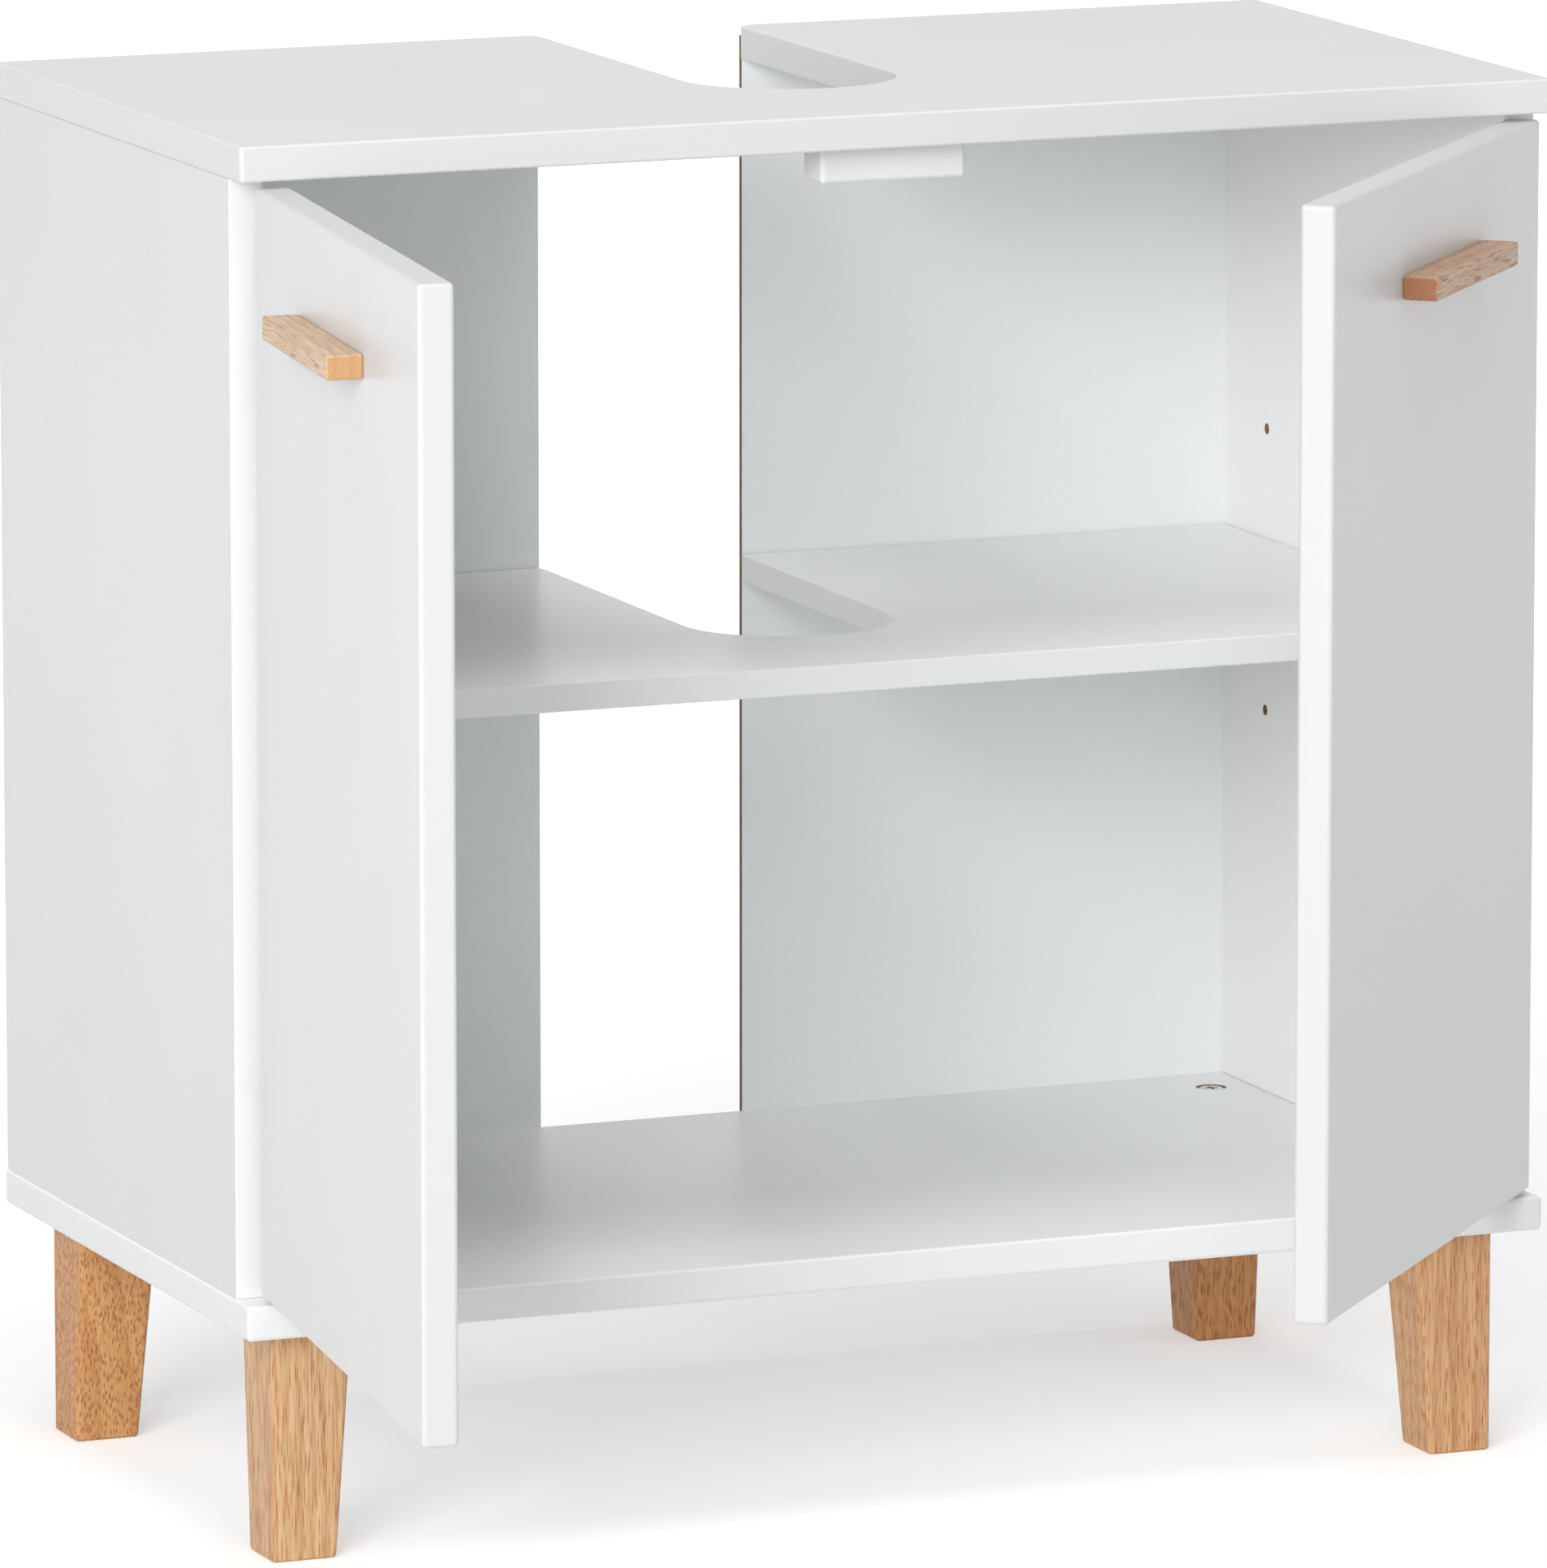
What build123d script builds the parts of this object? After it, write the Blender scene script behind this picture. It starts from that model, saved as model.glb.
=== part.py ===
from build123d import *
import os
from math import atan2, cos, degrees, hypot, radians, sin

# Washbasin base cabinet: two doors, one shelf, a U-shaped pipe cut-out, four tapered wooden legs.
# Millimetres. The origin is on the floor under the middle of the carcass, +X to the right, +Y to the
# wall behind, +Z up, so the doors are on the -Y side.
# The doors stand open at rest: the left one past square, the right one about half way.

# Driving dimensions of the carcass
WIDTH = 600.0
DEPTH = 310.0
LEG_HEIGHT = 100.0
CARCASS_HEIGHT = 505.0
BOARD = 15.0
SHELF_THICKNESS = 12.0
BOARD_SOFTNESS = 2.0
SIDE_INSET = 1.0
DOOR_RECESS = 17.0
SIDE_REAR_GAP = 0.5

# Pipe cut-out in the top and the shelf, open to the rear with a half-round front
CUTOUT_HALF_WIDTH = 47.5
CUTOUT_FRONT = 90.0
MOUTH_RADIUS = 7.0

# Back panels, let into a rebate and nailed
PANEL = 3.0
REBATE_DEPTH = 4.0
REBATE_HEIGHT = 11.0
REBATE_WIDTH = 7.5
PANEL_PLAY = 0.5
PIPE_GAP_HALF = 48.5
NAIL_RADIUS = 0.7
NAIL_LENGTH = 16.0
NAIL_HEAD_RADIUS = 1.6
NAIL_HEAD = 0.4
NAIL_FROM_BOARD_FACE = 5.5
NAILS_ALONG = (90.0, 170.0, 250.0)
NAILS_UP = (160.0, 275.0, 390.0, 505.0)

# Shelf and its supports
SHELF_TOP = 368.0
SHELF_PLAY = 0.5
PIN_RADIUS = 2.5
PIN_IN_BOARD = 9.0
PIN_PROUD = 7.0
HOLE_PITCH = 64.0
FRONT_ROW = 54.0
REAR_ROW = 260.0

# Legs: square, upright on the two outer faces, drawn in on the two inner ones
LEG_TOP = 36.6
LEG_FOOT = 29.3
LEG_INSET = 16.2
LEG_SOFTNESS = 2.5
BOLT_RADIUS = 3.0
BOLT_HEAD_RADIUS = 6.0
BOLT_HEAD = 2.6
COUNTERBORE_RADIUS = 7.0
COUNTERBORE = 3.0
BOLT_IN_LEG = 26.0
INSERT_RADIUS = 5.0
INSERT_LENGTH = 16.0
DOWEL_RADIUS = 4.0
LEG_DOWEL_LENGTH = 20.0
LEG_DOWEL_OFFSET = 11.0

# Carcass joints: dowels, and bolts drawn in by cam nuts
DOWEL_LENGTH = 30.0
DOWEL_IN_BOARD = 10.0
DOWEL_PLACES = (95.0, 220.0)
CAM_PLACES_ABOVE = (45.0, 245.0)
CAM_PLACES_BELOW = (45.0, 195.0)
CAM_RADIUS = 7.4
CAM_BORE_RADIUS = 7.5
CAM_LENGTH = 12.2
CAM_FROM_END = 24.0
CAM_BOLT_RADIUS = 2.5
CAM_BOLT_HEAD_RADIUS = 3.5
CAM_BOLT_IN_BOARD = 10.0
CAM_CHANNEL_RADIUS = 3.8

# Doors, measured on the left one as if closed: u from its hinge-side edge, w inward from its face
DOOR = 15.0
DOOR_GAP_SIDE = 1.5
DOOR_GAP_MIDDLE = 2.0
DOOR_GAP_BELOW = 2.5
DOOR_GAP_ABOVE = 3.0
DOOR_SOFTNESS = 2.0
PIVOT_U = 7.5
PIVOT_W = 1.0
LEFT_OPENING = 97.7
RIGHT_OPENING = 48.1

# Handles: plain square-cut bars screwed on from inside the door
HANDLE_LENGTH = 118.0
HANDLE_HEIGHT = 10.3
HANDLE_REACH = 15.6
HANDLE_CENTRE_U = 143.0
HANDLE_CENTRE_Z = 540.5
HANDLE_SOFTNESS = 1.2
HANDLE_SCREWS = 64.0
HANDLE_SCREW_RADIUS = 2.0
HANDLE_SCREW_IN = 9.0
HANDLE_SCREW_HEAD_RADIUS = 4.0
HANDLE_SCREW_HEAD = 2.2

# Concealed hinges: cup in the door, cranked link, arm and plate on the side
HINGE_FROM_END = 80.0
CUP_RADIUS = 17.45
CUP_BORE_RADIUS = 17.5
CUP_WALL = 0.75
CUP_DEPTH = 11.8
CUP_BORE = 12.0
CUP_CENTRE_U = 20.5
FLANGE = 0.9
CUP_PIN_U = 8.5
CUP_PIN_W = 8.3
CUP_PIN_HALF = 11.5
LINK_PIN_RADIUS = 1.0
ARM_PIN_REACH = 26.0
ARM_PIN_BEARING = 34.0
LINK_HALF_HEIGHT = 3.5
LINK_HALF_THICKNESS = 0.8
ELBOW_U = 6.0
ELBOW_W = 16.8
ELBOW_OPENING = 97.5
LINK_RATIO = 1.3012
SLOT_HALF_WIDTH = 1.8
SLOT_WALL = 0.9
FULL_OPENING = 105.0
FLANGE_HALF_HEIGHT = 29.0
FLANGE_REACH = 17.5
FLANGE_RIM = 1.8
FLANGE_CORNER = 5.0
CUP_SCREW_U = 30.0
CUP_SCREW_HALF = 22.5
CUP_SCREW_RADIUS = 1.75
CUP_SCREW_LENGTH = 12.0
ARM_PIN_HALF = 6.0
PLATE_WING = 2.0
PLATE_HALF_HEIGHT = 24.0
PLATE_HALF_DEPTH = 7.0
RAIL = 5.0
RAIL_HALF_HEIGHT = 7.0
RAIL_FORWARD = 15.0
RAIL_BACK = 22.0
PLATE_SCREW_HALF = 16.0
PLATE_SCREW_RADIUS = 2.5
PLATE_SCREW_LENGTH = 12.0
ARM_FRONT = 27.0
ARM_BACK = 24.0
ARM_THICKNESS = 7.0
ARM_HALF_HEIGHT = 8.0
ARM_SCREWS = (-9.0, 14.0)
ARM_SCREW_LENGTH = 9.0

# Stop block under the top, where the doors meet, and the buffers that touch it
BLOCK_LENGTH = 66.0
BLOCK_DEPTH = 20.5
BLOCK_HEIGHT = 16.0
BLOCK_SOFTNESS = 1.8
BLOCK_SCREWS = 40.0
BLOCK_SCREW_RADIUS = 1.75
BLOCK_SCREW_HEAD_RADIUS = 3.5
BLOCK_SCREW_HEAD = 1.8
BLOCK_SCREW_IN_TOP = 9.0
BUFFER_RADIUS = 4.0
BUFFER = 1.8
BUFFER_FROM_EDGE = 14.0
BUFFER_BELOW_CEILING = 9.0

# Levels and planes worked out from the above
HEIGHT = LEG_HEIGHT + CARCASS_HEIGHT
FLOOR_TOP = LEG_HEIGHT + BOARD
CEILING = HEIGHT - BOARD
FRONT = -DEPTH / 2
REAR = DEPTH / 2
SIDE_OUT = WIDTH / 2 - SIDE_INSET
SIDE_IN = SIDE_OUT - BOARD
SIDE_FRONT = FRONT + DOOR_RECESS
SIDE_REAR = REAR - SIDE_REAR_GAP
PANEL_FACE = REAR - REBATE_DEPTH
DOOR_EDGE = WIDTH / 2 - DOOR_GAP_SIDE
DOOR_WIDTH = (WIDTH - 2 * DOOR_GAP_SIDE - DOOR_GAP_MIDDLE) / 2
DOOR_LOW = FLOOR_TOP + DOOR_GAP_BELOW
DOOR_HIGH = CEILING - DOOR_GAP_ABOVE
HINGE_LEVELS = (DOOR_LOW + HINGE_FROM_END, DOOR_HIGH - HINGE_FROM_END)
LEG_CENTRE_X = WIDTH / 2 - LEG_INSET - LEG_TOP / 2
LEG_CENTRE_Y = DEPTH / 2 - LEG_INSET - LEG_TOP / 2
PIN_LEVEL = SHELF_TOP - SHELF_THICKNESS - PIN_RADIUS
BOARD_MIDDLE = SIDE_OUT - BOARD / 2


def block(x0, x1, y0, y1, z0, z1):
    """A plain block between two corners."""
    size = Box(x1 - x0, y1 - y0, z1 - z0)
    return Pos((x0 + x1) / 2, (y0 + y1) / 2, (z0 + z1) / 2) * size


def soft_block(x0, x1, y0, y1, z0, z1, softness):
    """A block with every edge rounded over."""
    plain = block(x0, x1, y0, y1, z0, z1)
    return fillet(plain.edges(), softness)


def rod(start, direction, length, radius):
    """A round rod from a point along a direction."""
    return Solid.make_cylinder(radius, length, Plane(origin=start, z_dir=direction))


def cross_recess(centre, direction, width, depth):
    """The cross that a screwdriver fits, sunk below a point."""
    plane = Plane(origin=centre, z_dir=direction)
    arm = Box(width, width / 4, 2 * depth)
    return plane * (arm + Rot(0, 0, 90) * arm)


def screw(tip_from, direction, length, radius, head_radius, head):
    """A screw whose head starts at a point and whose shank runs along the direction."""
    shank = rod(tip_from, direction, length, radius)
    back = tuple(-c for c in direction)
    cap = rod(tip_from, back, head, head_radius)
    cap = fillet(cap.edges().sort_by(Axis(tip_from, back))[-1], head * 0.45)
    top = tuple(p + head * b for p, b in zip(tip_from, back))
    return shank + cap - cross_recess(top, direction, head_radius * 1.1, head * 0.6)


def mirrored(shape):
    """The same piece on the other side of the cabinet."""
    return mirror(shape, about=Plane.YZ)


def both_sides(pieces):
    """A list of left-hand pieces followed by their mirror images."""
    return list(pieces) + [mirrored(p) for p in pieces]


def cutout_tool(z0, z1, rear):
    """The U-shaped space for the pipes: straight sides and a half-round front."""
    centre_y = FRONT + CUTOUT_FRONT + CUTOUT_HALF_WIDTH
    straight = block(-CUTOUT_HALF_WIDTH, CUTOUT_HALF_WIDTH, centre_y, rear + 5, z0 - 5, z1 + 5)
    round_end = Pos(0, centre_y, (z0 + z1) / 2) * Cylinder(CUTOUT_HALF_WIDTH, z1 - z0 + 10)
    return straight + round_end


def u_board(x_half, y0, y1, z0, z1, softness, mouth):
    """A board with the pipe cut-out, its mouth corners rounded and all its edges soft."""
    plain = block(-x_half, x_half, y0, y1, z0, z1) - cutout_tool(z0, z1, y1)
    rear = [e for e in plain.edges().filter_by(Axis.Z) if e.center().Y > y1 - 1]
    corners = [e for e in rear if abs(abs(e.center().X) - CUTOUT_HALF_WIDTH) < 1]
    plain = fillet(corners, mouth)
    outer = [e for e in plain.edges().filter_by(Axis.Z) if abs(e.center().X) > x_half - 1]
    plain = fillet(outer, softness)
    rims = plain.faces().filter_by(Axis.Z).edges()
    return fillet(rims, softness * 0.6)


def rebate_tool(z0, z1):
    """The rear rebate that a back panel lies in, stopped short of the board's ends."""
    half = SIDE_IN + REBATE_WIDTH
    return block(-half, half, PANEL_FACE, REAR + 5, z0, z1)


def dowels():
    """Beech dowels that locate the sides between the top and the bottom."""
    pieces = []
    for place in DOWEL_PLACES:
        for level, up in ((CEILING, 1), (FLOOR_TOP, -1)):
            start = (-BOARD_MIDDLE, FRONT + place, level + up * DOWEL_IN_BOARD)
            pin = rod(start, (0, 0, -up), DOWEL_LENGTH, DOWEL_RADIUS)
            pieces.append(chamfer(pin.edges().filter_by(GeomType.CIRCLE), 0.8))
    return both_sides(pieces)


def cam_seats():
    """Where the cam joints are: the place in depth, the joint's level, and which way its bolt points."""
    above = [(FRONT + place, CEILING, 1) for place in CAM_PLACES_ABOVE]
    return above + [(FRONT + place, FLOOR_TOP, -1) for place in CAM_PLACES_BELOW]


def cam_bolts():
    """Bolts screwed into the top and bottom, whose heads the cam nuts draw in."""
    pieces = []
    for y, level, up in cam_seats():
        start = (-BOARD_MIDDLE, y, level + up * CAM_BOLT_IN_BOARD)
        shank = rod(start, (0, 0, -up), CAM_BOLT_IN_BOARD + CAM_FROM_END, CAM_BOLT_RADIUS)
        tip = (-BOARD_MIDDLE, y, level - up * CAM_FROM_END)
        pieces.append(shank + Pos(*tip) * Sphere(CAM_BOLT_HEAD_RADIUS))
    return both_sides(pieces)


def cam_nuts():
    """Round cam nuts in the left side, turned with a screwdriver from inside the cabinet."""
    pieces = []
    for y, end, up in cam_seats():
        level = end - up * CAM_FROM_END
        body = rod((-SIDE_IN, y, level), (-1, 0, 0), CAM_LENGTH, CAM_RADIUS)
        centre = (-BOARD_MIDDLE, y, level)
        hollow = Pos(*centre) * Sphere(CAM_CHANNEL_RADIUS)
        hollow += rod(centre, (0, 0, up), CAM_LENGTH, CAM_BOLT_RADIUS + 0.3)
        pieces.append(body - hollow - cross_recess((-SIDE_IN, y, level), (1, 0, 0), 7, 1.5))
    return pieces


def cam_bores():
    """The bores in the left side for the cam nuts and their bolts."""
    tool = []
    for y, end, up in cam_seats():
        level = end - up * CAM_FROM_END
        tool.append(rod((-SIDE_IN + 1, y, level), (-1, 0, 0), CAM_LENGTH + 1.3, CAM_BORE_RADIUS))
        tool.append(rod((-BOARD_MIDDLE, y, end + up), (0, 0, -up), CAM_FROM_END, CAM_CHANNEL_RADIUS + 0.2))
    return tool


def shelf_pins():
    """Steel pins that carry the shelf, pushed into one pair of holes in each side."""
    pieces = []
    for row in (FRONT_ROW, REAR_ROW):
        start = (-SIDE_IN - PIN_IN_BOARD, FRONT + row, PIN_LEVEL)
        pin = rod(start, (1, 0, 0), PIN_IN_BOARD + PIN_PROUD, PIN_RADIUS)
        pieces.append(chamfer(pin.edges().filter_by(GeomType.CIRCLE), 0.5))
    return both_sides(pieces)


def pin_holes():
    """Rows of holes in the left side, so that the shelf can sit at three heights."""
    tool = []
    for row in (FRONT_ROW, REAR_ROW):
        for step in (-1, 0, 1):
            start = (-SIDE_IN + 1, FRONT + row, PIN_LEVEL + step * HOLE_PITCH)
            tool.append(rod(start, (-1, 0, 0), PIN_IN_BOARD + 1, PIN_RADIUS))
    return tool


def panel_nails():
    """Nails through the left back panel into the boards round it."""
    levels = (CEILING + NAIL_FROM_BOARD_FACE, FLOOR_TOP - NAIL_FROM_BOARD_FACE)
    places = [(-x, level) for x in NAILS_ALONG for level in levels]
    places += [(-SIDE_IN - REBATE_WIDTH / 2, z) for z in NAILS_UP]
    pieces = []
    for x, z in places:
        back = (x, PANEL_FACE + PANEL, z)
        shank = rod(back, (0, -1, 0), NAIL_LENGTH, NAIL_RADIUS)
        pieces.append(shank + rod(back, (0, 1, 0), NAIL_HEAD, NAIL_HEAD_RADIUS))
    return pieces


def back_panel():
    """The left back panel: thin board, white inside, its raw edge seen at the pipe gap."""
    low = FLOOR_TOP - REBATE_HEIGHT + PANEL_PLAY
    high = CEILING + REBATE_HEIGHT - PANEL_PLAY
    outer = SIDE_IN + REBATE_WIDTH - PANEL_PLAY
    return block(-outer, -PIPE_GAP_HALF, PANEL_FACE, PANEL_FACE + PANEL, low, high)


def leg(sign_x, sign_y):
    """One tapered leg, with the bores in its top for the insert, the bolt and the dowel."""
    outer_x, outer_y = WIDTH / 2 - LEG_INSET, DEPTH / 2 - LEG_INSET
    sections = []
    for size, level in ((LEG_FOOT, 0.0), (LEG_TOP, LEG_HEIGHT)):
        centre = Pos(sign_x * (outer_x - size / 2), sign_y * (outer_y - size / 2), level)
        sections.append(centre * Rectangle(size, size))
    body = loft(sections)
    upright = [e for e in body.edges() if abs(e.center().Z - LEG_HEIGHT / 2) < 1]
    body = fillet(upright, LEG_SOFTNESS)
    foot = body.faces().sort_by(Axis.Z)[0].edges()
    body = chamfer(foot, 1.0)
    x, y = sign_x * LEG_CENTRE_X, sign_y * LEG_CENTRE_Y
    body -= rod((x, y, LEG_HEIGHT + 1), (0, 0, -1), INSERT_LENGTH + 1, INSERT_RADIUS)
    body -= rod((x, y, LEG_HEIGHT), (0, 0, -1), BOLT_IN_LEG + 1, BOLT_RADIUS + 0.2)
    return body - leg_dowel(sign_x, sign_y)


def leg_bolt(sign_x, sign_y):
    """The bolt that goes down through the bottom board into a leg."""
    head_seat = (sign_x * LEG_CENTRE_X, sign_y * LEG_CENTRE_Y, FLOOR_TOP - COUNTERBORE)
    length = BOARD - COUNTERBORE + BOLT_IN_LEG
    return screw(head_seat, (0, 0, -1), length, BOLT_RADIUS, BOLT_HEAD_RADIUS, BOLT_HEAD)


def leg_insert(sign_x, sign_y):
    """The threaded sleeve set in the top of a leg."""
    top = (sign_x * LEG_CENTRE_X, sign_y * LEG_CENTRE_Y, LEG_HEIGHT)
    sleeve = rod(top, (0, 0, -1), INSERT_LENGTH, INSERT_RADIUS)
    return sleeve - rod(top, (0, 0, -1), INSERT_LENGTH, BOLT_RADIUS)


def leg_dowel(sign_x, sign_y):
    """The dowel that stops a leg from turning on its bolt."""
    x = sign_x * (LEG_CENTRE_X - LEG_DOWEL_OFFSET)
    y = sign_y * (LEG_CENTRE_Y - LEG_DOWEL_OFFSET)
    pin = rod((x, y, LEG_HEIGHT + 8), (0, 0, -1), LEG_DOWEL_LENGTH, DOWEL_RADIUS)
    return chamfer(pin.edges().filter_by(GeomType.CIRCLE), 0.8)


def stop_block():
    """The block under the top that both doors close against."""
    half = BLOCK_LENGTH / 2
    rear = SIDE_FRONT + BLOCK_DEPTH
    low = CEILING - BLOCK_HEIGHT
    body = soft_block(-half, half, SIDE_FRONT, rear, low, CEILING, BLOCK_SOFTNESS)
    for seat in block_screw_seats():
        body -= rod(seat, (0, 0, 1), BLOCK_HEIGHT, BLOCK_SCREW_RADIUS)
        body -= rod(seat, (0, 0, -1), BLOCK_SCREW_HEAD + 1, BLOCK_SCREW_HEAD_RADIUS)
    return body


def block_screw_seats():
    """Where the heads of the stop block's two screws bear, a head's thickness up inside it."""
    z = CEILING - BLOCK_HEIGHT + BLOCK_SCREW_HEAD
    return [(side * BLOCK_SCREWS / 2, SIDE_FRONT + BLOCK_DEPTH / 2, z) for side in (-1, 1)]


def block_screws():
    """Two screws up through the stop block into the top, their heads let in flush."""
    length = BLOCK_HEIGHT - BLOCK_SCREW_HEAD + BLOCK_SCREW_IN_TOP
    sizes = (length, BLOCK_SCREW_RADIUS, BLOCK_SCREW_HEAD_RADIUS, BLOCK_SCREW_HEAD)
    return [screw(seat, (0, 0, 1), *sizes) for seat in block_screw_seats()]


def door_point(u, w, z):
    """A point on the left door as if closed."""
    return (-DOOR_EDGE + u, FRONT + w, z)


def handle():
    """The left door's handle bar, flat against the door's face."""
    half = HANDLE_LENGTH / 2
    x = door_point(HANDLE_CENTRE_U, 0, 0)[0]
    low, high = HANDLE_CENTRE_Z - HANDLE_HEIGHT / 2, HANDLE_CENTRE_Z + HANDLE_HEIGHT / 2
    return soft_block(x - half, x + half, FRONT - HANDLE_REACH, FRONT, low, high, HANDLE_SOFTNESS)


def handle_screws():
    """The two screws that hold a handle, driven from inside the door."""
    sizes = (DOOR + HANDLE_SCREW_IN, HANDLE_SCREW_RADIUS, HANDLE_SCREW_HEAD_RADIUS, HANDLE_SCREW_HEAD)
    pieces = []
    for side in (-1, 1):
        seat = door_point(HANDLE_CENTRE_U + side * HANDLE_SCREWS / 2, DOOR, HANDLE_CENTRE_Z)
        pieces.append(screw(seat, (0, -1, 0), *sizes))
    return pieces


def door():
    """The left door, with its hinge bores."""
    x0, y0, z0 = door_point(0, 0, DOOR_LOW)
    body = soft_block(x0, x0 + DOOR_WIDTH, y0, y0 + DOOR, z0, DOOR_HIGH, DOOR_SOFTNESS)
    for z in HINGE_LEVELS:
        body -= rod(door_point(CUP_CENTRE_U, DOOR + 1, z), (0, -1, 0), CUP_BORE + 1, CUP_BORE_RADIUS)
    return body


def door_buffer():
    """The clear buffer on a door's upper free corner, which meets the stop block."""
    seat = door_point(DOOR_WIDTH - BUFFER_FROM_EDGE, DOOR, CEILING - BUFFER_BELOW_CEILING)
    return rod(seat, (0, 1, 0), BUFFER, BUFFER_RADIUS)


def cup(z):
    """A hinge cup with its flange, notched where the link swings past the rim."""
    inner = CUP_RADIUS - CUP_WALL
    mouth = door_point(CUP_CENTRE_U, DOOR, z)
    body = rod(mouth, (0, -1, 0), CUP_DEPTH, CUP_RADIUS)
    x, y, _ = mouth
    flange = block(x + 1.5, x + FLANGE_REACH, y, y + FLANGE, z - FLANGE_HALF_HEIGHT, z + FLANGE_HALF_HEIGHT)
    flange = fillet(flange.edges().filter_by(Axis.Y), FLANGE_CORNER)
    flange += rod(mouth, (0, 1, 0), FLANGE, CUP_RADIUS + FLANGE_RIM)
    flange -= block(x - 25, x - 8.5, y - 1, y + 5, z - 25, z + 25)
    hollow = rod((x, y + 5, z), (0, -1, 0), CUP_DEPTH + 5 - CUP_WALL, inner)
    notch = block(x - 20, x - 14, y - 3, y + 5, z - LINK_HALF_HEIGHT - 1.2, z + LINK_HALF_HEIGHT + 1.2)
    return body + flange - hollow - notch


def cup_pin(z):
    """The pin across a cup that its link turns on."""
    end = door_point(CUP_PIN_U, CUP_PIN_W, z - CUP_PIN_HALF)
    return rod(end, (0, 0, 1), 2 * CUP_PIN_HALF, LINK_PIN_RADIUS)


def cup_screws(z):
    """The two screws in a cup's flange."""
    pieces = []
    for up in (-1, 1):
        seat = door_point(CUP_SCREW_U, DOOR + FLANGE, z + up * CUP_SCREW_HALF)
        pieces.append(screw(seat, (0, -1, 0), CUP_SCREW_LENGTH, CUP_SCREW_RADIUS, 3.2, 1.4))
    return pieces


def arm_pin_place(z):
    """Where the pin in the arm's nose stands, seen from the door's pivot."""
    turn = radians(ARM_PIN_BEARING)
    u = PIVOT_U + ARM_PIN_REACH * cos(turn)
    w = PIVOT_W + ARM_PIN_REACH * sin(turn)
    return door_point(u, w, z)


def arm_pin(z):
    """The pin in the arm's nose, which runs in the link's slot."""
    return rod(arm_pin_place(z - ARM_PIN_HALF), (0, 0, 1), 2 * ARM_PIN_HALF, LINK_PIN_RADIUS)


def capsule(start, end, radius, z, half_height):
    """A flat bar with round ends between two points of the plan view."""
    run = hypot(end[0] - start[0], end[1] - start[1])
    turn = degrees(atan2(end[1] - start[1], end[0] - start[0]))
    shape = Box(run, 2 * radius, 2 * half_height)
    shape = Rot(0, 0, turn) * shape
    middle = ((start[0] + end[0]) / 2, (start[1] + end[1]) / 2, z)
    ends = [Pos(p[0], p[1], z) * Cylinder(radius, 2 * half_height) for p in (start, end)]
    return Pos(*middle) * shape + ends[0] + ends[1]


def slot_reach(opening):
    """Distance and bearing from the cup pin to the arm's pin, in the door's own axes."""
    turn = radians(ARM_PIN_BEARING + opening)
    du = PIVOT_U + ARM_PIN_REACH * cos(turn) - CUP_PIN_U
    dw = PIVOT_W + ARM_PIN_REACH * sin(turn) - CUP_PIN_W
    return hypot(du, dw), degrees(atan2(dw, du))


def link(z):
    """The cranked link, as if the door were closed: an eye on the cup's pin, a slot for the arm's."""
    centre = door_point(CUP_PIN_U, CUP_PIN_W, z)[:2]
    _, bearing = slot_reach(0)
    reaches = [slot_reach(FULL_OPENING * i / 20)[0] for i in range(21)]
    elbow_u, elbow_w = ELBOW_U - CUP_PIN_U, ELBOW_W - CUP_PIN_W
    elbow_turn = radians(degrees(atan2(elbow_w, elbow_u)) - LINK_RATIO * ELBOW_OPENING)
    elbow_run = hypot(elbow_u, elbow_w)
    elbow = (centre[0] + elbow_run * cos(elbow_turn), centre[1] + elbow_run * sin(elbow_turn))
    along = (cos(radians(bearing)), sin(radians(bearing)))
    near, far = [(centre[0] + r * along[0], centre[1] + r * along[1]) for r in (min(reaches), max(reaches))]
    eye = Pos(centre[0], centre[1], z) * Cylinder(2.0, 2 * LINK_HALF_HEIGHT)
    body = eye + capsule(centre, elbow, LINK_HALF_THICKNESS, z, LINK_HALF_HEIGHT)
    body += capsule(elbow, near, LINK_HALF_THICKNESS, z, LINK_HALF_HEIGHT)
    body += capsule(near, far, SLOT_HALF_WIDTH + SLOT_WALL, z, LINK_HALF_HEIGHT)
    body -= capsule(near, far, SLOT_HALF_WIDTH, z, LINK_HALF_HEIGHT + 1)
    return body - Pos(centre[0], centre[1], z) * Cylinder(LINK_PIN_RADIUS + 0.05, 4 * LINK_HALF_HEIGHT)


def hinge_plate(z):
    """The mounting plate screwed to the side, with wings above and below its rail."""
    x = -SIDE_IN
    y = FRONT + FRONT_ROW
    deep = PLATE_HALF_DEPTH
    wings = block(x, x + PLATE_WING, y - deep, y + deep, z - PLATE_HALF_HEIGHT, z + PLATE_HALF_HEIGHT)
    wings = fillet(wings.edges().filter_by(Axis.X), 4)
    rail = block(x, x + RAIL, y - RAIL_FORWARD, y + RAIL_BACK, z - RAIL_HALF_HEIGHT, z + RAIL_HALF_HEIGHT)
    return wings + rail


def plate_screws(z):
    """The two stout screws that hold a mounting plate to the side."""
    pieces = []
    for up in (-1, 1):
        seat = (-SIDE_IN + PLATE_WING, FRONT + FRONT_ROW, z + up * PLATE_SCREW_HALF)
        pieces.append(screw(seat, (-1, 0, 0), PLATE_SCREW_LENGTH, PLATE_SCREW_RADIUS, 3.6, 1.6))
    return pieces


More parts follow.
